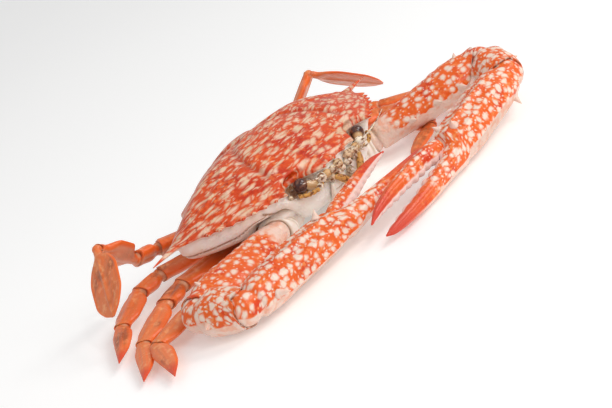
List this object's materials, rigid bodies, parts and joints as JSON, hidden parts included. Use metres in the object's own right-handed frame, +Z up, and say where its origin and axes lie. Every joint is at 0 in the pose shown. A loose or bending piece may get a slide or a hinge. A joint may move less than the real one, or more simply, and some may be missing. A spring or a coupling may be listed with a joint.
{
  "type": "cooked swimming crab",
  "caption": "Whole cooked swimming crab lying on its belly, with a wide toothed and spotted shell, long claws folded across its face, walking legs and paddle legs.",
  "frame": {"origin": "middle of the flat underside of the abdomen flap, which the crab lies on", "axes": "-Y the way the crab faces, +X its left side, +Z up through the back"},
  "size_m": [0.2008, 0.114, 0.0346],
  "materials": {
    "shell": "satin orange shell with cream spots and short streaks",
    "claw": "satin orange shell with round pale spots, pale pink below",
    "leg": "thin satin peach brown shell with orange edges",
    "cream": "satin cream white shell",
    "eye": "glossy dark brown"
  },
  "bodies": {
    "root": {"carapace": "shell", "thorax": "cream", "abdomen_flap": "cream", "eye_left": "eye", "mouth_plate_left": "cream", "claw_left_base": "claw", "claw_left_arm": "claw", "claw_left_wrist": "claw", "claw_left_palm": "claw", "claw_left_finger": "claw", "leg_first_left_thigh": "leg", "leg_first_left_knee": "leg", "leg_first_left_shin": "leg", "leg_first_left_spear": "leg", "leg_second_left_thigh": "leg", "leg_second_left_knee": "leg", "leg_second_left_shin": "leg", "leg_second_left_spear": "leg", "leg_third_left_thigh": "leg", "leg_third_left_knee": "leg", "leg_third_left_shin": "leg", "leg_third_left_spear": "leg", "swimmer_left_thigh": "leg", "swimmer_left_knee": "leg", "swimmer_left_shin": "leg", "swimmer_left_paddle": "leg", "eye_right": "eye", "mouth_plate_right": "cream", "claw_right_base": "claw", "claw_right_arm": "claw", "claw_right_wrist": "claw", "claw_right_palm": "claw", "claw_right_finger": "claw", "leg_first_right_thigh": "leg", "leg_first_right_knee": "leg", "leg_first_right_shin": "leg", "leg_first_right_spear": "leg", "leg_second_right_thigh": "leg", "leg_second_right_knee": "leg", "leg_second_right_shin": "leg", "leg_second_right_spear": "leg", "leg_third_right_thigh": "leg", "leg_third_right_knee": "leg", "leg_third_right_shin": "leg", "leg_third_right_spear": "leg", "swimmer_right_thigh": "leg", "swimmer_right_knee": "leg", "swimmer_right_shin": "leg", "swimmer_right_paddle": "leg"}
  },
  "joints": []
}
